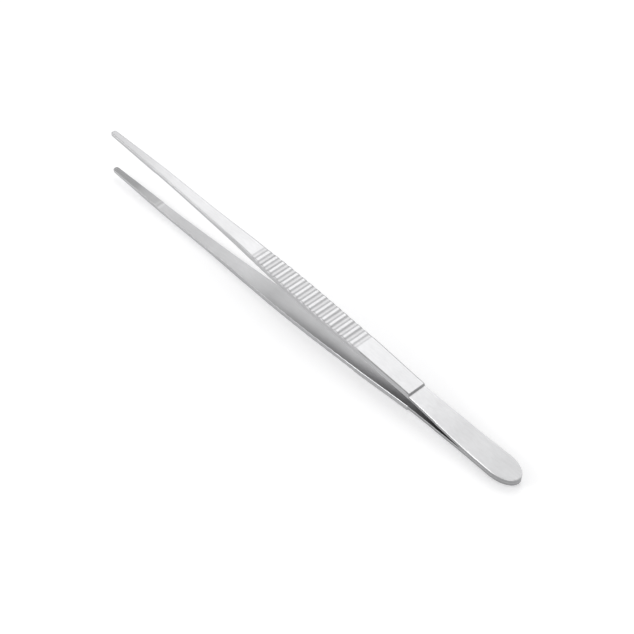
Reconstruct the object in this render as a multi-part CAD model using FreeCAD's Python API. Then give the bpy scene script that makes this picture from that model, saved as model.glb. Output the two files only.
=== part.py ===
import FreeCAD, Part
import math
import os
from FreeCAD import Vector

# Thumb forceps: two sprung steel arms welded together at a rounded butt.
# Sizes are in millimetres. An arm is drawn on the weld plane, x running from the jaw tip to the butt,
# y across the arm and z away from the weld plane. The pair is then laid on the table on its lower grip.

# Stretches of the arm, one after another from the jaw tip to the butt
PAD_LENGTH = 38.0
SHANK_LENGTH = 42.0
SWELL_LENGTH = 26.0
GRIP_RUN_IN = 11.9
RIBS = 15
RIB_PITCH = 5.0
GRIP_RUN_OUT = 4.0
REAR_LAND_LENGTH = 34.5
SPRING_LENGTH = 38.6
WELD_LENGTH = 30.0

# Where the bow starts behind the pad, and where it turns inwards before the last groove
BOW_SETBACK = 12.0
KNEE_SETBACK = 2.9

# Opening between the pads at the tips
TIP_GAP = 25.1

# Half openings of the inner face at the two bends of the bow
BOW_HALF_GAP = 12.3
KNEE_HALF_GAP = 5.75

# Strip thickness at the stations
TIP_THICKNESS = 1.9
JAW_THICKNESS = 2.45
SHANK_THICKNESS = 2.5
GRIP_THICKNESS = 3.4
SPRING_THICKNESS = 2.05

# Full widths of the arm seen from above
TIP_WIDTH = 3.4
PAD_WIDTH = 5.1
SHANK_WIDTH = 6.9
SWELL_WIDTH = 8.5
GRIP_FRONT_WIDTH = 11.4
GRIP_WIDTH = 12.5
REAR_LAND_WIDTH = 11.8
WAIST_WIDTH = 10.7
SPRING_WIDTH = 12.5
BUTT_WIDTH = 14.6
NOSE_RADIUS = 1.3
BUTT_ROUND = 12.5

# Grip ribs: round-bottomed grooves milled straight across
GROOVE_RADIUS = 4.0
GROOVE_DEPTH = 0.35
END_GROOVE_DEPTH = 0.25

# Jaw pad and its cross teeth
TOOTHED_LENGTH = 21.5
PAD_RELIEF = 0.35
TOOTH_PITCH = 1.2
TOOTH_DEPTH = 0.4

# Edge finish
FRONT_BEVEL = 0.5
SPRING_BEVEL = 0.2

# Blend radii where the strip changes direction
BOW_RADIUS = 500.0
KNEE_RADIUS = 800.0
SWELL_RADIUS = 300.0
CROTCH_RADIUS = 200.0

# Stations along the arm, worked out from the stretches
SHANK_END = PAD_LENGTH + SHANK_LENGTH
SWELL_END = SHANK_END + SWELL_LENGTH
FIRST_GROOVE = SWELL_END + GRIP_RUN_IN
LAST_GROOVE = FIRST_GROOVE + RIBS * RIB_PITCH
GRIP_END = LAST_GROOVE + GRIP_RUN_OUT
SHOULDER_X = GRIP_END + REAR_LAND_LENGTH
WELD_FRONT = SHOULDER_X + SPRING_LENGTH
LENGTH = WELD_FRONT + WELD_LENGTH
BOW_X = PAD_LENGTH + BOW_SETBACK
KNEE_X = LAST_GROOVE - KNEE_SETBACK


def inner_height(x):
    """Height above the weld plane of the inner face behind the pad, and of its line carried on to the tip."""
    tip_height = TIP_GAP / 2 + PAD_RELIEF
    if x <= BOW_X:
        return tip_height + (BOW_HALF_GAP - tip_height) * x / BOW_X
    if x <= KNEE_X:
        return BOW_HALF_GAP + (KNEE_HALF_GAP - BOW_HALF_GAP) * (x - BOW_X) / (KNEE_X - BOW_X)
    return KNEE_HALF_GAP * max(0.0, WELD_FRONT - x) / (WELD_FRONT - KNEE_X)


def outer_height(x, thickness):
    return inner_height(x) + thickness


# The outer face runs dead straight under the ribs, from the swell to just behind the last groove
GRIP_FRONT = (SWELL_END, outer_height(SWELL_END, GRIP_THICKNESS))
GRIP_REAR = (GRIP_END, outer_height(GRIP_END, GRIP_THICKNESS))
GRIP_ANGLE = math.atan2(GRIP_FRONT[1] - GRIP_REAR[1], GRIP_REAR[0] - GRIP_FRONT[0])


def blended(corners, radii):
    """Straight runs through x-z corners, joined by tangent arcs of the given radii (0 keeps a sharp corner)."""
    points = [Vector(x, 0, z) for x, z in corners]
    edges = []
    start = points[0]
    for before, corner, after, radius in zip(points, points[1:], points[2:], radii):
        back = (before - corner).normalize()
        ahead = (after - corner).normalize()
        turn = math.pi - back.getAngle(ahead)
        reach = radius * math.tan(turn / 2)
        if reach < 1e-4:
            edges.append(Part.makeLine(start, corner))
            start = corner
            continue
        leave = corner + back * reach
        join = corner + ahead * reach
        middle = corner + (back + ahead).normalize() * (radius / math.cos(turn / 2) - radius)
        edges.append(Part.makeLine(start, leave))
        edges.append(Part.Arc(leave, middle, join).toShape())
        start = join
    edges.append(Part.makeLine(start, points[-1]))
    return edges


def side_outline():
    """The strip from the side: bowed inner face with the raised jaw pad, outer face with its shoulder step."""
    tip_height = TIP_GAP / 2
    pad_height = inner_height(PAD_LENGTH) - PAD_RELIEF
    inner = blended(
        [(0, tip_height),
         (PAD_LENGTH, pad_height),
         (PAD_LENGTH + PAD_RELIEF, inner_height(PAD_LENGTH + PAD_RELIEF)),
         (BOW_X, BOW_HALF_GAP),
         (KNEE_X, KNEE_HALF_GAP),
         (WELD_FRONT, 0),
         (LENGTH, 0)],
        [0, 0, BOW_RADIUS, KNEE_RADIUS, 0])
    outer = blended(
        [(LENGTH, SPRING_THICKNESS),
         (WELD_FRONT, SPRING_THICKNESS),
         (SHOULDER_X, outer_height(SHOULDER_X, SPRING_THICKNESS)),
         (SHOULDER_X, outer_height(SHOULDER_X, GRIP_THICKNESS)),
         GRIP_REAR,
         GRIP_FRONT,
         (SHANK_END, outer_height(SHANK_END, SHANK_THICKNESS)),
         (PAD_LENGTH, outer_height(PAD_LENGTH, JAW_THICKNESS)),
         (0, tip_height + TIP_THICKNESS)],
        [CROTCH_RADIUS, 0, 0, SWELL_RADIUS, SWELL_RADIUS, SWELL_RADIUS, BOW_RADIUS])
    butt = Part.makeLine(Vector(LENGTH, 0, 0), Vector(LENGTH, 0, SPRING_THICKNESS))
    nose = Part.makeLine(Vector(0, 0, tip_height + TIP_THICKNESS), Vector(0, 0, tip_height))
    return Part.Face(Part.Wire(inner + [butt] + outer + [nose]))


def plan_outline():
    """The strip from above: rounded nose, slim shank, swelling grip, waist at the shoulder, rounded butt."""
    widest = LENGTH - BUTT_ROUND
    stations = [
        (NOSE_RADIUS, TIP_WIDTH),
        (PAD_LENGTH, PAD_WIDTH),
        (SHANK_END, SHANK_WIDTH),
        (SWELL_END, SWELL_WIDTH),
        (FIRST_GROOVE + 2.5 * RIB_PITCH, GRIP_FRONT_WIDTH),
        (FIRST_GROOVE + 8.5 * RIB_PITCH, GRIP_WIDTH),
        (GRIP_END + RIB_PITCH, REAR_LAND_WIDTH),
        (SHOULDER_X, WAIST_WIDTH),
        ((SHOULDER_X + WELD_FRONT) / 2, SPRING_WIDTH),
        (widest, BUTT_WIDTH)]
    flank = Part.BSplineCurve()
    flank.interpolate(Points=[Vector(x, width / 2, 0) for x, width in stations],
                      InitialTangent=Vector(1, 0.02, 0), FinalTangent=Vector(1, 0, 0))
    nose_flat = TIP_WIDTH / 2 - NOSE_RADIUS
    bulge = NOSE_RADIUS * math.sqrt(0.5)
    nose_turn = Part.Arc(Vector(0, nose_flat, 0),
                         Vector(NOSE_RADIUS - bulge, nose_flat + bulge, 0),
                         Vector(NOSE_RADIUS, TIP_WIDTH / 2, 0))
    cap = Part.Arc(Part.Ellipse(Vector(widest, 0, 0), BUTT_ROUND, BUTT_WIDTH / 2), -math.pi / 2, math.pi / 2)
    left = [nose_turn.toShape(), flank.toShape()]
    right = [edge.mirror(Vector(0, 0, 0), Vector(0, 1, 0)) for edge in left]
    nose_front = Part.makeLine(Vector(0, -nose_flat, 0), Vector(0, nose_flat, 0))
    loop = Part.__sortEdges__([nose_front, cap.toShape()] + left + right)
    return Part.Face(Part.Wire(loop))


def arm_blank():
    """Side outline pushed across the arm, trimmed to the plan outline."""
    reach = BUTT_WIDTH + GRIP_WIDTH
    side = side_outline()
    side.translate(Vector(0, -reach / 2, 0))
    plan = plan_outline()
    plan.translate(Vector(0, 0, -1))
    blank = side.extrude(Vector(0, reach, 0)).common(plan.extrude(Vector(0, 0, TIP_GAP + 4 * GRIP_THICKNESS)))
    return blank.Solids[0]


def outer_rim(shape, front, rear):
    """The edges where the outer face meets the flanks and the ends, within one stretch of the arm."""
    rim = []
    for edge in shape.Edges:
        box = edge.BoundBox
        middle = edge.valueAt((edge.FirstParameter + edge.LastParameter) / 2)
        inside = box.XMin > front - 0.01 and box.XMax < rear + 0.01
        outside_face = middle.z > inner_height(middle.x) + SPRING_THICKNESS / 2
        across = box.XLength < 0.01 and middle.x > NOSE_RADIUS
        if inside and outside_face and not across:
            rim.append(edge)
    return rim


def bevelled(blank):
    """Outer rims bevelled: broad along the forged front, a fine break round the spring and the butt."""
    shape = blank.makeChamfer(FRONT_BEVEL, outer_rim(blank, 0, SHOULDER_X))
    return shape.makeChamfer(SPRING_BEVEL, outer_rim(shape, SHOULDER_X, LENGTH))


def grip_grooves():
    """A row of cutter passes across the outer face, shallower at both ends of the row."""
    passes = []
    for index in range(RIBS + 1):
        at_end = index in (0, RIBS)
        depth = END_GROOVE_DEPTH if at_end else GROOVE_DEPTH
        x = FIRST_GROOVE + index * RIB_PITCH
        surface = GRIP_FRONT[1] - (x - GRIP_FRONT[0]) * math.tan(GRIP_ANGLE)
        centre = Vector(x, -GRIP_WIDTH, surface + GROOVE_RADIUS - depth)
        passes.append(Part.makeCylinder(GROOVE_RADIUS, 2 * GRIP_WIDTH, centre, Vector(0, 1, 0)))
    return Part.makeCompound(passes)


def pad_teeth(phase):
    """V cuts straight across the pad; the phase sets the two jaws half a pitch apart so that they mesh."""
    fall = (TIP_GAP / 2 - inner_height(PAD_LENGTH) + PAD_RELIEF) / PAD_LENGTH
    count = int(TOOTHED_LENGTH / TOOTH_PITCH)
    cuts = []
    for index in range(count):
        x = (index + 0.75 + phase) * TOOTH_PITCH
        surface = TIP_GAP / 2 - fall * x
        half = TOOTH_PITCH / 2
        corners = [Vector(x - half, -PAD_WIDTH, surface - TOOTH_DEPTH * 0.02),
                   Vector(x, -PAD_WIDTH, surface + TOOTH_DEPTH),
                   Vector(x + half, -PAD_WIDTH, surface - TOOTH_DEPTH * 0.02)]
        section = Part.Face(Part.makePolygon(corners + corners[:1]))
        cuts.append(section.extrude(Vector(0, 2 * PAD_WIDTH, 0)))
    return Part.makeCompound(cuts)


def arm(phase):
    shape = bevelled(arm_blank())
    shape = shape.cut(grip_grooves())
    shape = shape.cut(pad_teeth(phase))
    return shape.Solids[0]


def laid_down(shape):
    """Tip the butt down until the grip ribs of the lower arm lie flat on the table."""
    laid = shape.copy()
    laid.rotate(Vector(0, 0, 0), Vector(0, 1, 0), math.degrees(GRIP_ANGLE))
    grip_line = GRIP_FRONT[1] + GRIP_FRONT[0] * math.tan(GRIP_ANGLE)
    laid.translate(Vector(0, 0, grip_line * math.cos(GRIP_ANGLE)))
    return laid


def main():
    upper = laid_down(arm(0.0))
    lower = laid_down(arm(0.5).mirror(Vector(0, 0, 0), Vector(0, 0, 1)))
    bounds = Part.makeCompound([upper, lower]).optimalBoundingBox(False, False)
    os.makedirs("parts", exist_ok=True)
    for name, shape in (("upper_arm", upper), ("lower_arm", lower)):
        shape.translate(Vector(-bounds.Center.x, 0, 0))
        shape.exportStep("parts/" + name + ".step")


main()
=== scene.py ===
"""Thumb forceps in satin steel: both sprung arms built by Geometry Nodes, on a plain studio stage."""

import math
from types import SimpleNamespace

import bpy
from bpy.props import FloatProperty, FloatVectorProperty, IntProperty, PointerProperty
from mathutils import Matrix, Vector


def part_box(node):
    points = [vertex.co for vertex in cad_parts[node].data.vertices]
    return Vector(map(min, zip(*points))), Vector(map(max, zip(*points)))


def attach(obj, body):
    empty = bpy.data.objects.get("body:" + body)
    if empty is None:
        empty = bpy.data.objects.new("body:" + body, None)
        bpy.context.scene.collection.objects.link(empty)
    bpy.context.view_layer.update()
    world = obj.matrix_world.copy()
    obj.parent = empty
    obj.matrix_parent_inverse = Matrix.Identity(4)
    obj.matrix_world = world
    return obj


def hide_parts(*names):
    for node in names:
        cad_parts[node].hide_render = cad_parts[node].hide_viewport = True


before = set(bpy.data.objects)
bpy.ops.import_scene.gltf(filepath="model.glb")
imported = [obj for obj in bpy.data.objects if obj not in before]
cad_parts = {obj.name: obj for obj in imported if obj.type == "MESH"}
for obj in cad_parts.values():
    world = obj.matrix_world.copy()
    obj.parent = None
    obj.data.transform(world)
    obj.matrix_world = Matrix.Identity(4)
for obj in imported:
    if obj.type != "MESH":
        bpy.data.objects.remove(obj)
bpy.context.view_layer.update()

bl_info = {
    "name": "Thumb forceps",
    "version": (1, 0, 0),
    "blender": (4, 5, 0),
    "location": "3D View > Sidebar > Forceps",
    "description": "Builds the two arms of a pair of long thumb forceps and a studio stage around them",
    "category": "Add Mesh",
}

MM = 0.001
QUARTER_TURN = math.pi / 2

# Points of one section ring: each of its four rounded corners has a point ahead of the round,
# the points of the round itself, and one behind it, which keep the flats next to it flat in shading.
ROUND_STEPS = 3
CORNER_POINTS = ROUND_STEPS + 3
RING_POINTS = 4 * CORNER_POINTS
SUPPORT = 0.06 * MM
WELD_DISTANCE = 0.002 * MM
CREASE_ANGLE = math.radians(40)

# How many section rings each stretch of the arm is cut into; the groove's count is for each groove.
# The rings of the teeth start as many quarter pitches from the tip as there are rings ahead of them.
RINGS = SimpleNamespace(
    nose_front=1, nose_corner=8, behind_nose=1, teeth=66, pad=8, pad_step=1, shank=24, swell=16, run_in=6,
    groove=28, rear_land=20, wall=4, spring=24, weld=10, butt=24)
RINGS_PER_TOOTH = 4
RINGS_AHEAD_OF_TEETH = 5

# Middle of the upper arm's first tooth cut, in pitches from the tip.
FIRST_TOOTH_CUT = 0.75

# Run of the pad's step for each unit of its height, and how fully the outline rounds out to the butt.
PAD_STEP_SLOPE = 1.5
BUTT_FLARE = 1.4

# How strong the painted shade, painted dark reflection and painted highlight are where regions meet, and
# where the painted shade over the teeth fades, in toothed lengths.
RIM_SHADE_LOST_IN_GRIP = 0.9
INNER_CHAMFER_SHINE = 0.5
WELD_SHADE_IN_GRIP = 0.3
TEETH_SHADE_START = 0.85
TEETH_SHADE_END = 1.3

# Noise patterns of the steel, in features per metre along the arm, across it and up.
GRAIN_SCALE = (60.0, 3200.0, 3200.0)
STREAK_SCALE = (250.0, 1100.0, 1100.0)
CLOUD_SCALE = 120.0
GRAIN_IN_ROUGHNESS = 0.16
CLOUDS_IN_ROUGHNESS = 0.06
GRAIN_HEIGHT = 0.1 * MM
PALEST_STREAK, DARKEST_STREAK = 0.3, 0.7

# The stage. Each soft box has the size of its face and its place, and looks at the middle of the forceps.
SOFT_BOXES = {
    "key": ((1.2, 1.9), (-0.85, 1.15, 1.94)),
    "rim": ((0.9, 0.7), (-1.02, -1.43, 0.95)),
    "front": ((0.6, 0.6), (1.1, -1.18, 1.57)),
}
FLOOR_REACH = 6.0
FLOOR_ROUGHNESS = 0.9
FLOOR_GLOW = (0.985, 0.985, 1.0, 1.0)
WHITE = (1.0, 1.0, 1.0, 1.0)
CAMERA_TARGET = Vector((0.01196, -0.00072, 0.011))
CAMERA_CLIP = (0.01, 20.0)
SENSOR_WIDTH = 36.0


def millimetres(label, value, meaning):
    return FloatProperty(name=label, description=meaning, default=value * MM, min=0.0, unit="LENGTH",
                         precision=5)


def tint(label, value, meaning):
    return FloatVectorProperty(name=label, description=meaning, default=value, size=3, min=0.0, max=1.0,
                               subtype="COLOR")


def turned(label, value, meaning):
    return FloatProperty(name=label, description=meaning, default=math.radians(value), subtype="ANGLE")


def share(label, value, meaning):
    return FloatProperty(name=label, description=meaning, default=value, min=0.0, max=1.0, subtype="FACTOR")


def plain(label, value, meaning):
    return FloatProperty(name=label, description=meaning, default=value, min=0.0)


class ArmSizes(bpy.types.PropertyGroup):
    """Sizes of one arm, on the weld plane, from the jaw tip to the butt."""

    pad_length: millimetres("Pad length", 38.0, "Jaw pad, from the tip to its step")
    shank_length: millimetres("Shank length", 42.0, "Slim shank behind the pad")
    swell_length: millimetres("Swell length", 26.0, "Stretch where the strip thickens towards the grip")
    grip_run_in: millimetres("Grip run-in", 11.9, "Plain stretch before the first groove")
    ribs: IntProperty(name="Ribs", description="Ribs between the first and the last groove", default=15,
                      min=1)
    rib_pitch: millimetres("Rib pitch", 5.0, "Distance from one groove to the next")
    grip_run_out: millimetres("Grip run-out", 4.0, "Plain stretch behind the last groove")
    rear_land_length: millimetres("Rear land length", 34.5, "Plain land behind the grip, up to the shoulder")
    spring_length: millimetres("Spring length", 38.6, "Thin spring between the shoulder and the weld")
    weld_length: millimetres("Weld length", 30.0, "Butt, welded face to face")
    bow_setback: millimetres("Bow setback", 12.0, "From the pad's step to where the bow starts")
    knee_setback: millimetres("Knee setback", 2.9, "From the last groove back to where the arm turns inwards")
    shoulder_run: millimetres("Shoulder run", 0.8, "Length of the step's slope at the shoulder")
    tip_gap: millimetres("Tip gap", 25.1, "Free opening between the pads at the tips")
    bow_half_gap: millimetres("Bow half gap", 12.3, "Half opening where the bow starts")
    knee_half_gap: millimetres("Knee half gap", 5.75, "Half opening where the arm turns inwards")
    tip_thickness: millimetres("Tip thickness", 1.9, "Strip at the very tip")
    jaw_thickness: millimetres("Jaw thickness", 2.45, "Strip at the pad's step")
    shank_thickness: millimetres("Shank thickness", 2.5, "Strip at the end of the shank")
    grip_thickness: millimetres("Grip thickness", 3.4, "Strip under the ribs and the rear land")
    spring_thickness: millimetres("Spring thickness", 2.05, "Strip behind the shoulder")
    tip_width: millimetres("Tip width", 3.4, "Width at the tip")
    pad_width: millimetres("Pad width", 5.1, "Width at the pad's step")
    shank_width: millimetres("Shank width", 6.9, "Width at the end of the shank")
    swell_width: millimetres("Swell width", 8.5, "Width where the grip begins")
    grip_front_width: millimetres("Grip front width", 11.4, "Width at the third rib")
    grip_width: millimetres("Grip width", 12.5, "Width at the ninth rib")
    rear_land_width: millimetres("Rear land width", 11.8, "Width just behind the ribs")
    waist_width: millimetres("Waist width", 10.7, "Width at the shoulder")
    spring_width: millimetres("Spring width", 12.5, "Width halfway along the spring")
    butt_width: millimetres("Butt width", 14.6, "Widest part, at the butt")
    nose_radius: millimetres("Nose radius", 1.3, "Corner radius of the tip seen from above")
    butt_round: millimetres("Butt round", 12.5, "Length of the rounded end of the butt")
    groove_radius: millimetres("Groove radius", 4.0, "Radius of the cutter that made the grooves")
    groove_depth: millimetres("Groove depth", 0.35, "Depth of the grooves")
    end_groove_depth: millimetres("End groove depth", 0.25, "Depth of the first and the last groove")
    crest_blend: millimetres("Crest blend", 0.4, "Rounding where a groove runs out into its crest")
    scallop: millimetres("Scallop", 0.15, "How far the flanks draw in at each groove")
    toothed_length: millimetres("Toothed length", 20.7, "Part of the pad with cross teeth")
    pad_relief: millimetres("Pad relief", 0.35, "Height of the step behind the pad")
    tooth_pitch: millimetres("Tooth pitch", 1.2, "Distance between the cross teeth")
    tooth_depth: millimetres("Tooth depth", 0.2, "Depth of the cross teeth")
    front_round: millimetres("Front round", 0.5, "Rounded outer rim ahead of the shoulder")
    grip_round: millimetres("Grip round", 0.7, "Rounded ends of the ribs")
    spring_round: millimetres("Spring round", 0.3, "Chamfered outer rim round the spring and the butt")
    inner_round: millimetres("Inner round", 0.17, "Round of the inner edges, a chamfer in the grip")
    width_ease: millimetres("Width ease", 16.0, "Run over which the plan outline changes direction")
    bow_ease: millimetres("Bow ease", 14.0, "Run over which the strip bends")


class SteelFinish(bpy.types.PropertyGroup):
    """Colours and finish of the satin steel; most region colours are painted shade, painted dark reflections
    or painted highlights.
    """

    steel: tint("Steel", (0.605, 0.605, 0.613), "Colour of the satin steel")
    # Painted shade: the flanks are darkened for the shadowed floor that they mirror.
    edge_steel: tint("Edge steel", (0.48, 0.48, 0.486), "Colour of the flanks, darkened as painted shade")
    # Painted shade: the grooves are darkened as shade in their hollows.
    groove_steel: tint("Groove steel", (0.52, 0.52, 0.527), "Colour of the grooves, darkened as painted shade")
    spring_steel: tint("Spring steel", (0.605, 0.605, 0.613), "Colour of the brushed spring")
    # Painted shade: the steel behind the shoulder darkens towards the butt.
    butt_steel: tint("Butt steel", (0.475, 0.475, 0.481), "Colour towards the butt, darkened as painted shade")
    # Painted shade: the inner faces are darkened for the shaded arm that they face and mirror.
    inner_steel: tint("Inner steel", (0.485, 0.485, 0.492), "Colour of the inner faces, darkened as painted shade")
    pad_steel: tint("Pad steel", (0.395, 0.395, 0.4), "Colour of the blasted jaw pads")
    # Painted shade: the pads are darkened over their teeth, towards the tip.
    tooth_steel: tint("Tooth steel", (0.31, 0.31, 0.314), "Colour of the toothed pads, darkened as painted shade")
    # Painted shade: the flanks of the spring and the butt are darkened further for the shadowed floor they
    # mirror.
    spring_edge_steel: tint("Spring edge steel", (0.335, 0.335, 0.34), "Colour of the spring's flanks")
    # Painted dark reflection: the rounded rim ahead of the shoulder is darkened for the dark surroundings it
    # mirrors.
    rim_steel: tint("Rim steel", (0.37, 0.37, 0.375), "Colour of the rim ahead of the shoulder, a painted dark reflection")
    # Painted highlight: the chamfers are brightened as lit edges.
    chamfer_steel: tint("Chamfer steel", (0.76, 0.76, 0.765), "Colour of the chamfers, a painted highlight")
    # Painted shade: the inner faces are darkened in the narrowing gap towards the weld; the brushed streaks
    # darken towards this colour too.
    weld_steel: tint("Weld steel", (0.15, 0.15, 0.152), "Colour of the inner faces towards the weld, painted shade; also the dark of the streaks")
    # Painted shade: the step wall at the shoulder is darkened into a dark line.
    wall_steel: tint("Wall steel", (0.36, 0.36, 0.364), "Colour of the wall at the shoulder, darkened as painted shade")
    roughness: share("Roughness", 0.36, "Roughness of the satin faces")
    streaks: share("Streaks", 0.08, "How far the brushed streaks darken the steel")
    grain: plain("Grain", 0.05, "Height of the brushed grain, in the bump's strength")


class StudioStage(bpy.types.PropertyGroup):
    """Floor, light and camera."""

    floor: tint("Floor", (0.92, 0.92, 0.92), "Colour of the floor")
    glow: plain("Floor glow", 0.3, "Light that the floor itself gives off, as a sheet lit from below does")
    azimuth: turned("Camera azimuth", 46.877, "Turn of the camera round the forceps")
    elevation: turned("Camera elevation", 45.854, "Height angle of the camera")
    distance: FloatProperty(name="Camera distance", description="From the camera to what it looks at",
                            default=0.9954, unit="LENGTH")
    lens: FloatProperty(name="Lens", description="Focal length of the camera", default=112.59,
                        unit="CAMERA")
    key: plain("Key light", 1.36, "Brightness of the large soft light's face")
    rim: plain("Rim light", 3.5, "Brightness of the low light that picks out the near rims")
    front: plain("Front light", 2.2, "Brightness of the light beside the camera")
    sky: plain("Sky", 0.6, "Brightness of the room as the steel mirrors it")
    fill: plain("Fill", 0.62, "Brightness of the room as it lights the floor")


class Wire:
    """A socket of a node tree. Its operators add Math nodes."""

    def __init__(self, graph, socket):
        self.graph = graph
        self.socket = socket

    def __add__(self, other):
        return self.graph.math("ADD", self, other)

    __radd__ = __add__

    def __sub__(self, other):
        return self.graph.math("SUBTRACT", self, other)

    def __rsub__(self, other):
        return self.graph.math("SUBTRACT", other, self)

    def __mul__(self, other):
        return self.graph.math("MULTIPLY", self, other)

    __rmul__ = __mul__

    def __truediv__(self, other):
        return self.graph.math("DIVIDE", self, other)

    def __rtruediv__(self, other):
        return self.graph.math("DIVIDE", other, self)

    def __lt__(self, other):
        return self.graph.math("LESS_THAN", self, other)

    def __gt__(self, other):
        return self.graph.math("GREATER_THAN", self, other)

    def __neg__(self):
        return self.graph.math("MULTIPLY", self, -1.0)


class Graph:
    """A node tree that is written as expressions."""

    def __init__(self, tree):
        self.tree = tree

    def node(self, kind, settings=(), sockets=()):
        """Adds a node: first its settings, then its sockets, by name or index, from values or wires."""
        made = self.tree.nodes.new(kind)
        for name, value in dict(settings).items():
            setattr(made, name, value)
        for name, value in dict(sockets).items():
            socket = self.socket(made.inputs, name)
            if isinstance(value, Wire):
                self.tree.links.new(value.socket, socket)
            else:
                socket.default_value = value
        return made

    def socket(self, sockets, name):
        """A socket by index, or the one in use of those that share a name."""
        if isinstance(name, int):
            return sockets[name]
        return next(s for s in sockets if s.name == name and s.enabled)

    def wire(self, kind, settings=(), sockets=(), output=0):
        return Wire(self, self.socket(self.node(kind, settings, sockets).outputs, output))

    def math(self, operation, *values):
        return self.wire("ShaderNodeMath", {"operation": operation}, dict(enumerate(values)))

    def mix(self, start, end, amount):
        return start + (end - start) * amount

    def blend(self, colour, other, amount):
        return self.wire("ShaderNodeMix", {"data_type": "RGBA"}, {
            "Factor": amount, "A": colour, "B": (*other, 1.0)}, output="Result")

    def larger(self, first, second, blend=0.0):
        if blend == 0.0:
            return self.math("MAXIMUM", first, second)
        return self.math("SMOOTH_MAX", first, second, blend)

    def between(self, start, end, value):
        """0 before start, 1 after end, and straight in between."""
        return self.wire("ShaderNodeMapRange", {"data_type": "FLOAT", "clamp": True},
                         {"Value": value, "From Min": start, "From Max": end, "To Min": 0.0, "To Max": 1.0})


def on_line(start, end, x):
    """Height at x of the straight line through two (x, height) points."""
    return start[1] + (end[1] - start[1]) * (x - start[0]) / (end[0] - start[0])


def bent_line(graph, corners, eases, x):
    """Height at x of straight runs through corners, each eased over its run; level past the last one."""
    slopes = [(b[1] - a[1]) / (b[0] - a[0]) for a, b in zip(corners, corners[1:])] + [0.0]
    height = corners[0][1] + slopes[0] * (x - corners[0][0])
    for corner, ease, before, after in zip(corners[1:], eases, slopes, slopes[1:]):
        height = height + graph.larger(x - corner[0], 0.0, ease) * (after - before)
    return height


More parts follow.
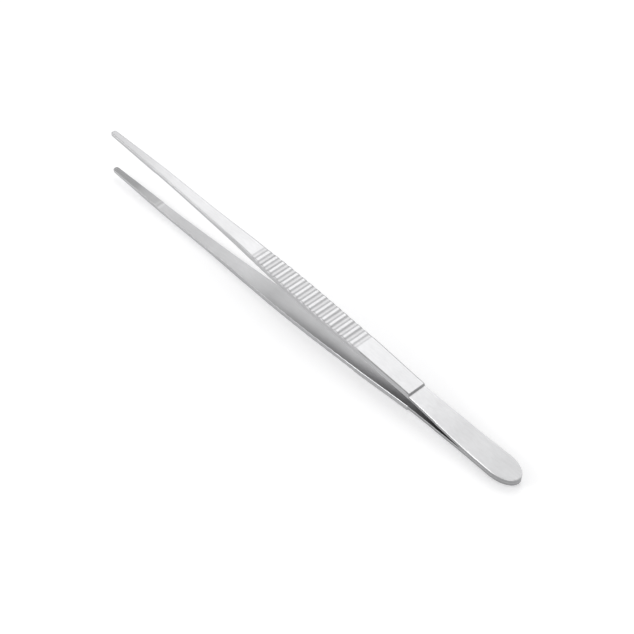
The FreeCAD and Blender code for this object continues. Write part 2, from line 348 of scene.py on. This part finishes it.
class ArmGraph(Graph):
    """The Geometry Nodes tree of one arm."""

    def __init__(self):
        super().__init__(bpy.data.node_groups.new("Forceps arm", "GeometryNodeTree"))
        face = self.tree.interface
        face.new_socket("Geometry", in_out="OUTPUT", socket_type="NodeSocketGeometry")
        kinds = {"IntProperty": "NodeSocketInt"}
        for key, prop in ArmSizes.__annotations__.items():
            socket = face.new_socket(key, in_out="INPUT",
                                     socket_type=kinds.get(prop.function.__name__, "NodeSocketFloat"))
            socket.description = prop.keywords["description"]
        face.new_socket("tooth_phase", in_out="INPUT", socket_type="NodeSocketFloat")
        face.new_socket("turned_over", in_out="INPUT", socket_type="NodeSocketBool")
        face.new_socket("finish", in_out="INPUT", socket_type="NodeSocketMaterial")
        source = self.tree.nodes.new("NodeGroupInput")
        self.size = SimpleNamespace(**{s.name: Wire(self, s) for s in source.outputs if s.name})
        self.lay_out_stations()

    def lay_out_stations(self):
        s = self.size
        s.pad_end = s.pad_length + PAD_STEP_SLOPE * s.pad_relief
        s.shank_end = s.pad_length + s.shank_length
        s.swell_end = s.shank_end + s.swell_length
        s.first_groove = s.swell_end + s.grip_run_in
        s.grip_run = s.ribs * s.rib_pitch
        s.last_groove = s.first_groove + s.grip_run
        s.grip_end = s.last_groove + s.grip_run_out
        s.shoulder = s.grip_end + s.rear_land_length
        s.weld_front = s.shoulder + s.spring_length
        s.widest = s.weld_front + s.weld_length - s.butt_round
        s.bow = s.pad_length + s.bow_setback
        s.knee = s.last_groove - s.knee_setback

    # Grid strips, one for each stretch

    def strip(self, steps):
        """A grid: along it one column for each section ring, across it the points of the ring."""
        grid = self.wire("GeometryNodeMeshGrid", {}, {
            "Size X": 1.0, "Size Y": 1.0, "Vertices X": steps + 1, "Vertices Y": RING_POINTS + 1})
        place = self.wire("GeometryNodeInputPosition")
        along = Wire(self, self.node("ShaderNodeSeparateXYZ", {}, {0: place}).outputs["X"]) + 0.5
        return grid, along

    def stored(self, geometry, name, value):
        return self.wire("GeometryNodeStoreNamedAttribute", {"data_type": "FLOAT", "domain": "POINT"},
                         {"Geometry": geometry, "Name": name, "Value": value})

    def read(self, name):
        return self.wire("GeometryNodeInputNamedAttribute", {"data_type": "FLOAT"}, {"Name": name})

    def joined(self, parts):
        join = self.tree.nodes.new("GeometryNodeJoinGeometry")
        for part in parts:
            self.tree.links.new(part.socket, join.inputs[0])
        return Wire(self, join.outputs[0])

    def stretch(self, start, end, steps, behind_shoulder=0.0):
        grid, along = self.strip(steps)
        grid = self.stored(grid, "station", self.mix(start, end, along))
        return self.stored(grid, "behind_shoulder", behind_shoulder)

    def body(self):
        """All stretches between the nose and the butt's round, with their width from the plan outline."""
        s = self.size
        tooth_step = s.tooth_pitch / RINGS_PER_TOOTH
        first_tooth = tooth_step * RINGS_AHEAD_OF_TEETH
        teeth_end = first_tooth + tooth_step * RINGS.teeth
        rib_start = s.first_groove - s.rib_pitch / 2
        rib_end = s.last_groove + s.rib_pitch / 2
        wall_start = s.shoulder - s.shoulder_run / 2
        wall_end = s.shoulder + s.shoulder_run / 2
        wall, along = self.strip(RINGS.wall)
        wall = self.stored(wall, "station", s.shoulder + s.shoulder_run * (along - 0.5))
        wall = self.stored(wall, "behind_shoulder", along)
        body = self.joined([
            self.stretch(s.nose_radius, first_tooth, RINGS.behind_nose),
            self.stretch(first_tooth, teeth_end, RINGS.teeth),
            self.stretch(teeth_end, s.pad_length, RINGS.pad),
            self.stretch(s.pad_length, s.pad_end, RINGS.pad_step),
            self.stretch(s.pad_end, s.shank_end, RINGS.shank),
            self.stretch(s.shank_end, s.swell_end, RINGS.swell),
            self.stretch(s.swell_end, rib_start, RINGS.run_in),
            self.stretch(rib_start, rib_end, (s.ribs + 1) * RINGS.groove),
            self.stretch(rib_end, wall_start, RINGS.rear_land),
            wall,
            self.stretch(wall_end, s.weld_front, RINGS.spring, 1.0),
            self.stretch(s.weld_front, s.widest, RINGS.weld, 1.0)])
        return self.stored(body, "half_width", self.half_width(self.read("station")))

    def rib_middle(self, number):
        return self.size.first_groove + self.size.rib_pitch * (number - 0.5)

    def half_width(self, x):
        """The plan outline: slim shank, swelling grip, waist at the shoulder, and out again to the butt."""
        s = self.size
        half_spring = (s.shoulder + s.weld_front) / 2
        corners = [
            (s.nose_radius, s.tip_width / 2),
            (s.pad_length, s.pad_width / 2),
            (s.shank_end, s.shank_width / 2),
            (s.swell_end, s.swell_width / 2),
            (self.rib_middle(3), s.grip_front_width / 2),
            (self.rib_middle(9), s.grip_width / 2),
            (s.grip_end + s.rib_pitch, s.rear_land_width / 2),
            (s.shoulder, s.waist_width / 2),
            (half_spring, s.spring_width / 2)]
        front = bent_line(self, corners, [s.width_ease] * (len(corners) - 1), x)
        run = self.between(half_spring, s.widest, x)
        rear = self.mix(s.butt_width / 2, s.spring_width / 2, self.math("POWER", 1 - run, BUTT_FLARE))
        return self.mix(front, rear, x > half_spring)

    def nose(self):
        """The tip's front face and its two rounded corners, seen from above."""
        s = self.size
        flat = s.tip_width / 2 - s.nose_radius
        front, along = self.strip(RINGS.nose_front)
        front = self.stored(front, "half_width", flat * along)
        front = self.stored(front, "lean", -1.0)
        corner, along = self.strip(RINGS.nose_corner)
        turn = along * QUARTER_TURN
        corner = self.stored(corner, "station", s.nose_radius * (1 - self.math("COSINE", turn)))
        corner = self.stored(corner, "half_width", flat + s.nose_radius * self.math("SINE", turn))
        corner = self.stored(corner, "lean", -self.math("COSINE", turn))
        return [front, corner]

    def butt(self):
        """The elliptic end of the butt."""
        s = self.size
        cap, along = self.strip(RINGS.butt)
        turn = along * QUARTER_TURN
        sine, cosine = self.math("SINE", turn), self.math("COSINE", turn)
        ahead, aside = sine / s.butt_round, cosine / (s.butt_width / 2)
        cap = self.stored(cap, "station", s.widest + s.butt_round * sine)
        cap = self.stored(cap, "half_width", s.butt_width / 2 * cosine)
        cap = self.stored(cap, "lean", ahead / self.math("SQRT", ahead * ahead + aside * aside))
        return self.stored(cap, "behind_shoulder", 1.0)

    # Heights above the weld plane

    def bow_corners(self):
        s = self.size
        return [(0.0, s.tip_gap / 2 + s.pad_relief), (s.bow, s.bow_half_gap), (s.knee, s.knee_half_gap),
                (s.weld_front, 0.0)]

    def inner_height(self, x):
        """The inner face: bowed strip, raised jaw pad with its cross teeth."""
        s = self.size
        bow = bent_line(self, self.bow_corners(), [s.bow_ease, s.bow_ease, WELD_DISTANCE], x)
        pad = s.pad_relief * (1 - self.between(s.pad_length, s.pad_end, x))
        return bow - pad

    def tooth_cut(self, x):
        s = self.size
        count = x / s.tooth_pitch - FIRST_TOOTH_CUT - s.tooth_phase
        off_centre = self.math("PINGPONG", count, 0.5)
        return s.tooth_depth * (1 - off_centre * 2) * self.tooth_fading(x) * (count > -0.5)

    def tooth_fading(self, x):
        return 1 - self.between(self.size.toothed_length / 2, self.size.toothed_length, x)

    def outer_heights(self, x):
        """The outer face ahead of the shoulder and behind it, with tighter bends than the bow's."""
        s = self.size
        tip, bow, knee, weld = self.bow_corners()
        front = bent_line(self, [
            (0.0, s.tip_gap / 2 + s.tip_thickness),
            (s.pad_length, on_line(tip, bow, s.pad_length) + s.jaw_thickness),
            (s.shank_end, on_line(bow, knee, s.shank_end) + s.shank_thickness),
            self.grip_front(),
            self.grip_rear(),
            (s.shoulder, on_line(knee, weld, s.shoulder) + s.grip_thickness)],
            [s.bow_ease, s.bow_ease / 2, s.bow_ease / 2, s.bow_ease / 4, WELD_DISTANCE], x)
        rear = bent_line(self, [
            (s.shoulder, on_line(knee, weld, s.shoulder) + s.spring_thickness),
            (s.weld_front, s.spring_thickness)], [s.bow_ease * 0.75], x)
        return front, rear

    def grip_front(self):
        s = self.size
        bow, knee = self.bow_corners()[1:3]
        return s.swell_end, on_line(bow, knee, s.swell_end) + s.grip_thickness

    def grip_rear(self):
        s = self.size
        knee, weld = self.bow_corners()[2:]
        return s.grip_end, on_line(knee, weld, s.grip_end) + s.grip_thickness

    def groove_cut(self, x):
        """Depth of the grip grooves at x, with the first and the last one shallower."""
        s = self.size
        off_centre = self.math("PINGPONG", (x - s.first_groove) / s.rib_pitch, 0.5) * s.rib_pitch
        from_middle = self.math("ABSOLUTE", x - (s.first_groove + s.grip_run / 2))
        at_end = from_middle > s.grip_run / 2 - s.rib_pitch / 2
        depth = self.mix(s.groove_depth, s.end_groove_depth, at_end)
        radius = s.groove_radius
        chord = self.math("SQRT", self.larger(radius * radius - off_centre * off_centre, 0.0))
        cut = self.larger(chord - radius + depth, 0.0, s.crest_blend)
        return cut * (from_middle < s.grip_run / 2 + s.rib_pitch / 2)

    # The section ring

    def placed(self, geometry):
        """Moves every grid point to its place on the ring of its station, and marks the steel's regions."""
        s = self.size
        across = Wire(self, self.node("ShaderNodeSeparateXYZ", {}, {
            0: self.wire("GeometryNodeInputPosition")}).outputs["Y"]) + 0.5
        point = self.math("MODULO", self.math("ROUND", across * RING_POINTS), RING_POINTS)
        in_pair = self.math("MODULO", point, 2 * CORNER_POINTS)
        step = self.math("MINIMUM", in_pair, 2 * CORNER_POINTS - 1 - in_pair)
        outside = point < 2 * CORNER_POINTS - 0.5
        left = (point > CORNER_POINTS - 0.5) * (point < 3 * CORNER_POINTS - 0.5)
        turn = self.between(1.0, CORNER_POINTS - 2.0, step) * QUARTER_TURN

        x = self.read("station")
        behind = self.read("behind_shoulder")
        lean = self.read("lean")
        in_grip = (self.between(s.swell_end, s.first_groove, x)
                   * (1 - self.between(s.last_groove, s.grip_end, x)))
        outer_round = self.mix(self.mix(s.front_round, s.grip_round, in_grip), s.spring_round, behind)
        radius = self.mix(s.inner_round, outer_round, outside)
        along_grip = self.between(s.first_groove, s.last_groove, x) * (1 - behind)
        chamfered = self.mix(along_grip, behind, outside)
        chamfer = turn / QUARTER_TURN
        inset = radius * self.mix(1 - self.math("COSINE", turn), chamfer, chamfered)
        drop = radius * self.mix(1 - self.math("SINE", turn), 1 - chamfer, chamfered)
        inset = inset + SUPPORT * (step > CORNER_POINTS - 1.5)
        drop = drop + SUPPORT * (step < 0.5)
        front, rear = self.outer_heights(x)
        groove = self.groove_cut(x)
        outer = self.mix(front, rear, behind) - self.larger(
            drop, groove, s.crest_blend / 2 * groove / s.groove_depth)
        inner = self.inner_height(x) + self.larger(drop, self.tooth_cut(x))
        aside = self.math("SQRT", 1 - lean * lean)
        half = self.larger(self.read("half_width") - aside * inset - s.scallop * groove / s.groove_depth, 0.0)
        position = self.wire("ShaderNodeCombineXYZ", {}, {
            "X": x - lean * inset,
            "Y": half * (1 - 2 * left),
            "Z": self.mix(inner, outer, outside)})
        for name, amount in self.regions(x, behind, outside, step, in_grip, along_grip, groove).items():
            geometry = self.stored(geometry, name, amount)
        return self.wire("GeometryNodeSetPosition", {}, {"Geometry": geometry, "Position": position})

    def regions(self, x, behind, outside, step, in_grip, along_grip, groove):
        """How far each point belongs to each region that has a steel tint of its own; most tints are painted
        shade, painted dark reflection or painted highlight.
        """
        s = self.size
        on_face = (1 - outside) * (step > CORNER_POINTS - 1.5)
        on_flank = step < 0.5
        on_corner = (step > 0.5) * (step < CORNER_POINTS - 1.5)
        rim_shade = self.between(s.shank_end, s.first_groove, x) - RIM_SHADE_LOST_IN_GRIP * in_grip
        third_groove = s.first_groove + 2 * s.rib_pitch
        towards_weld = (WELD_SHADE_IN_GRIP * self.between(s.swell_end, third_groove, x)
                        + (1 - WELD_SHADE_IN_GRIP) * self.between(s.shoulder, s.weld_front, x))
        teeth_shade = 1 - self.between(
            TEETH_SHADE_START * s.toothed_length, TEETH_SHADE_END * s.toothed_length, x)
        from_wall = self.math("ABSOLUTE", x - s.shoulder)
        return {
            # Painted shade: the flanks are darkened for the shadowed floor that they mirror.
            "on_flank": on_flank,
            # Painted shade on the flanks behind the shoulder.
            "on_spring_flank": on_flank * behind,
            # Painted dark reflection on the rim, mostly left out in the grip.
            "on_rim": outside * on_corner * rim_shade,
            # Painted shade, growing from the shoulder to the butt.
            "near_butt": behind * self.between(s.shoulder, s.widest, x),
            # Painted highlight on the outer chamfers behind the shoulder, and at half strength on the inner
            # chamfers of the grip.
            "on_chamfer": on_corner * self.mix(INNER_CHAMFER_SHINE * along_grip, behind, outside),
            # Painted shade in the grooves, strongest where they are deepest.
            "in_groove": outside * groove / s.groove_depth,
            # Painted shade on the inner faces between the arms.
            "inner_face": on_face,
            "jaw_pad": on_face * (x < s.pad_length + s.pad_relief / 2),
            # Painted shade over the toothed pads, fading out behind the teeth.
            "jaw_teeth": on_face * teeth_shade,
            # Painted shade on the inner faces, a little from the grip on and mostly from the shoulder to the
            # weld.
            "near_weld": on_face * towards_weld,
            # Painted shade on the shoulder's step wall.
            "on_wall": outside * self.between(s.shoulder_run / 2, s.shoulder_run / 4, from_wall),
        }

    def laid_down(self, geometry):
        """Turns the lower arm over and tips the butt down until the lower ribs lie flat on the table."""
        s = self.size
        mirror = self.wire("ShaderNodeCombineXYZ", {}, {"X": 1.0, "Y": 1.0, "Z": 1 - 2 * s.turned_over})
        geometry = self.wire("GeometryNodeTransform", {}, {"Geometry": geometry, "Scale": mirror})
        geometry = self.wire("GeometryNodeFlipFaces", {}, {
            "Mesh": geometry, "Selection": 1 - s.turned_over})
        front, rear = self.grip_front(), self.grip_rear()
        angle = self.math("ARCTAN2", front[1] - rear[1], rear[0] - front[0])
        lift = (front[1] + front[0] * self.math("TANGENT", angle)) * self.math("COSINE", angle)
        tip_down = self.wire("ShaderNodeCombineXYZ", {}, {"Y": angle})
        raise_up = self.wire("ShaderNodeCombineXYZ", {}, {"Z": lift})
        return self.wire("GeometryNodeTransform", {}, {
            "Geometry": geometry, "Translation": raise_up, "Rotation": tip_down})

    def build(self):
        s = self.size
        arm = self.placed(self.joined(self.nose() + [self.body(), self.butt()]))
        arm = self.wire("GeometryNodeMergeByDistance", {}, {"Geometry": arm, "Distance": WELD_DISTANCE})
        arm = self.laid_down(arm)
        arm = self.wire("GeometryNodeSetShadeSmooth", {"domain": "FACE"}, {
            "Geometry": arm, "Shade Smooth": True})
        crease = self.wire("GeometryNodeInputMeshEdgeAngle") > CREASE_ANGLE
        arm = self.wire("GeometryNodeSetShadeSmooth", {"domain": "EDGE"}, {
            "Geometry": arm, "Selection": crease, "Shade Smooth": False})
        arm = self.wire("GeometryNodeRealizeInstances", {}, {"Geometry": arm})
        arm = self.wire("GeometryNodeSetMaterial", {}, {"Geometry": arm, "Material": s.finish})
        sink = self.tree.nodes.new("NodeGroupOutput")
        self.tree.links.new(arm.socket, sink.inputs[0])
        return self.tree


def satin_steel(finish):
    """Stainless steel with a satin face that is brushed and faintly streaked along the arm, with painted
    shade, painted dark reflections and painted highlights in its regions' colours.
    """
    material = bpy.data.materials.new("satin_steel")
    material.use_nodes = True
    material.node_tree.nodes.clear()
    g = Graph(material.node_tree)
    place = g.wire("ShaderNodeTexCoord", output="Object")
    stretched = g.wire("ShaderNodeMapping", {}, {"Vector": place, "Scale": GRAIN_SCALE})
    grain = g.wire("ShaderNodeTexNoise", {}, {
        "Vector": stretched, "Scale": 1.0, "Detail": 4.0, "Roughness": 0.6})
    clouds = g.wire("ShaderNodeTexNoise", {}, {"Vector": place, "Scale": CLOUD_SCALE, "Detail": 3.0})
    drawn = g.wire("ShaderNodeMapping", {}, {"Vector": place, "Scale": STREAK_SCALE})
    streaks = g.wire("ShaderNodeTexNoise", {}, {"Vector": drawn, "Scale": 1.0, "Detail": 2.0})
    roughness = (finish.roughness + (grain - 0.5) * GRAIN_IN_ROUGHNESS
                 + (clouds - 0.5) * CLOUDS_IN_ROUGHNESS)
    bump = g.wire("ShaderNodeBump", {}, {
        "Strength": finish.grain, "Distance": GRAIN_HEIGHT, "Height": grain})
    colour = (*finish.steel, 1.0)
    # Each region blends in its own colour: painted shade on the flanks, grooves, inner faces, teeth, weld
    # gap, wall and butt, a painted dark reflection on the rim, and a painted highlight on the chamfers.
    for region, steel in (
            ("behind_shoulder", finish.spring_steel), ("near_butt", finish.butt_steel),
            ("in_groove", finish.groove_steel), ("on_flank", finish.edge_steel),
            ("on_spring_flank", finish.spring_edge_steel), ("on_rim", finish.rim_steel),
            ("on_chamfer", finish.chamfer_steel), ("inner_face", finish.inner_steel),
            ("jaw_pad", finish.pad_steel), ("jaw_teeth", finish.tooth_steel),
            ("near_weld", finish.weld_steel), ("on_wall", finish.wall_steel)):
        amount = g.wire("ShaderNodeAttribute", {"attribute_name": region}, output="Fac")
        colour = g.blend(colour, steel, amount)
    streak = g.between(PALEST_STREAK, DARKEST_STREAK, streaks)
    colour = g.blend(colour, finish.weld_steel, streak * finish.streaks)
    shader = g.wire("ShaderNodeBsdfPrincipled", {}, {
        "Base Color": colour, "Metallic": 1.0, "Roughness": roughness, "Normal": bump})
    g.node("ShaderNodeOutputMaterial", {}, {"Surface": shader})
    return material


def made_arm(tree, node, tooth_phase, turned_over, material):
    """Runs the tree for one arm, keeps its mesh and sets it where the CAD node is."""
    sizes = bpy.context.scene.forceps_arm
    draft = bpy.data.objects.new("draft_" + node, bpy.data.meshes.new("draft_" + node))
    bpy.context.scene.collection.objects.link(draft)
    modifier = draft.modifiers.new("Arm", "NODES")
    modifier.node_group = tree
    extra = {"tooth_phase": tooth_phase, "turned_over": turned_over, "finish": material}
    for item in tree.interface.items_tree:
        if item.in_out == "INPUT":
            value = extra[item.name] if item.name in extra else getattr(sizes, item.name)
            modifier[item.identifier] = value
    graph = bpy.context.evaluated_depsgraph_get()
    mesh = bpy.data.meshes.new_from_object(draft.evaluated_get(graph))
    bpy.data.objects.remove(draft)
    if not mesh.vertices:
        raise RuntimeError("the arm's node tree made no mesh for " + node)
    mesh.name = "dressed_" + node
    butt_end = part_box(node)[1].x
    mesh.transform(Matrix.Translation((butt_end - max(v.co.x for v in mesh.vertices), 0.0, 0.0)))
    piece = bpy.data.objects.new("dressed_" + node, mesh)
    bpy.context.scene.collection.objects.link(piece)
    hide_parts(node)
    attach(piece, "root")


class FORCEPS_OT_arms(bpy.types.Operator):
    """Build the upper and the lower arm in satin steel"""

    bl_idname = "forceps.arms"
    bl_label = "Arms"

    def execute(self, context):
        tree = ArmGraph().build()
        material = satin_steel(context.scene.forceps_finish)
        made_arm(tree, "upper_arm", 0.0, False, material)
        made_arm(tree, "lower_arm", 0.5, True, material)
        return {"FINISHED"}


def soft_box(name, brightness, size, place):
    """An area light whose face has the given brightness, turned to the middle of the forceps."""
    data = bpy.data.lights.new(name, "AREA")
    data.shape = "RECTANGLE"
    data.size, data.size_y = size
    data.energy = brightness * math.pi * size[0] * size[1]
    light = bpy.data.objects.new(name, data)
    light.location = place
    light.rotation_euler = (-Vector(place)).to_track_quat("-Z", "Y").to_euler()
    bpy.context.scene.collection.objects.link(light)


def floor_piece(colour, glow):
    """A wide pale sheet under the forceps, which gives off a little light of its own."""
    mesh = bpy.data.meshes.new("floor")
    reach = FLOOR_REACH
    mesh.from_pydata([(-reach, -reach, 0), (reach, -reach, 0), (reach, reach, 0), (-reach, reach, 0)], [],
                     [(0, 1, 2, 3)])
    material = bpy.data.materials.new("floor")
    material.use_nodes = True
    material.node_tree.nodes.clear()
    g = Graph(material.node_tree)
    shader = g.wire("ShaderNodeBsdfPrincipled", {}, {
        "Base Color": (*colour, 1.0), "Roughness": FLOOR_ROUGHNESS, "Emission Color": FLOOR_GLOW,
        "Emission Strength": glow})
    g.node("ShaderNodeOutputMaterial", {}, {"Surface": shader})
    mesh.materials.append(material)
    piece = bpy.data.objects.new("floor", mesh)
    bpy.context.scene.collection.objects.link(piece)


def set_camera(stage):
    """The photograph's view: the camera looks at a point just above the middle of the forceps."""
    a, e = stage.azimuth, stage.elevation
    towards = Vector((math.sin(a) * math.cos(e), -math.cos(a) * math.cos(e), math.sin(e)))
    data = bpy.data.cameras.new("camera")
    data.lens = stage.lens
    data.sensor_width = SENSOR_WIDTH
    data.clip_start, data.clip_end = CAMERA_CLIP
    camera = bpy.data.objects.new("camera", data)
    camera.location = CAMERA_TARGET + towards * stage.distance
    camera.rotation_euler = (-towards).to_track_quat("-Z", "Y").to_euler()
    bpy.context.scene.collection.objects.link(camera)
    bpy.context.scene.camera = camera


class FORCEPS_OT_stage(bpy.types.Operator):
    """Set up the floor, the soft studio light and the camera"""

    bl_idname = "forceps.stage"
    bl_label = "Studio stage"

    def execute(self, context):
        stage = context.scene.forceps_stage
        floor_piece(stage.floor, stage.glow)
        set_camera(stage)
        for name, (size, place) in SOFT_BOXES.items():
            soft_box(name, getattr(stage, name), size, place)
        world = bpy.data.worlds.new("room")
        world.use_nodes = True
        world.node_tree.nodes.clear()
        g = Graph(world.node_tree)
        on_matt = g.wire("ShaderNodeLightPath", output="Is Diffuse Ray")
        glow = g.wire("ShaderNodeBackground", {}, {
            "Color": WHITE, "Strength": g.mix(stage.sky, stage.fill, on_matt)})
        g.node("ShaderNodeOutputWorld", {}, {"Surface": glow})
        context.scene.world = world
        context.scene.view_settings.view_transform = "Standard"
        return {"FINISHED"}


class FORCEPS_PT_sidebar(bpy.types.Panel):
    """Lists the builders of the forceps"""

    bl_label = "Thumb forceps"
    bl_space_type = "VIEW_3D"
    bl_region_type = "UI"
    bl_category = "Forceps"

    def draw(self, context):
        for operator in OPERATORS:
            self.layout.operator(operator.bl_idname)
        for group in GROUPS:
            settings = getattr(context.scene, group)
            box = self.layout.box()
            for key in settings.__annotations__:
                box.prop(settings, key)


OPERATORS = (FORCEPS_OT_arms, FORCEPS_OT_stage)
GROUPS = {"forceps_arm": ArmSizes, "forceps_finish": SteelFinish, "forceps_stage": StudioStage}


def register():
    for group in GROUPS.values():
        bpy.utils.register_class(group)
    for operator in OPERATORS:
        bpy.utils.register_class(operator)
    bpy.utils.register_class(FORCEPS_PT_sidebar)
    for name, group in GROUPS.items():
        setattr(bpy.types.Scene, name, PointerProperty(type=group))


def unregister():
    for name in GROUPS:
        delattr(bpy.types.Scene, name)
    for made in (FORCEPS_PT_sidebar, *OPERATORS, *GROUPS.values()):
        bpy.utils.unregister_class(made)


def main():
    register()
    bpy.ops.forceps.arms()
    bpy.ops.forceps.stage()


if __name__ == "__main__":
    main()
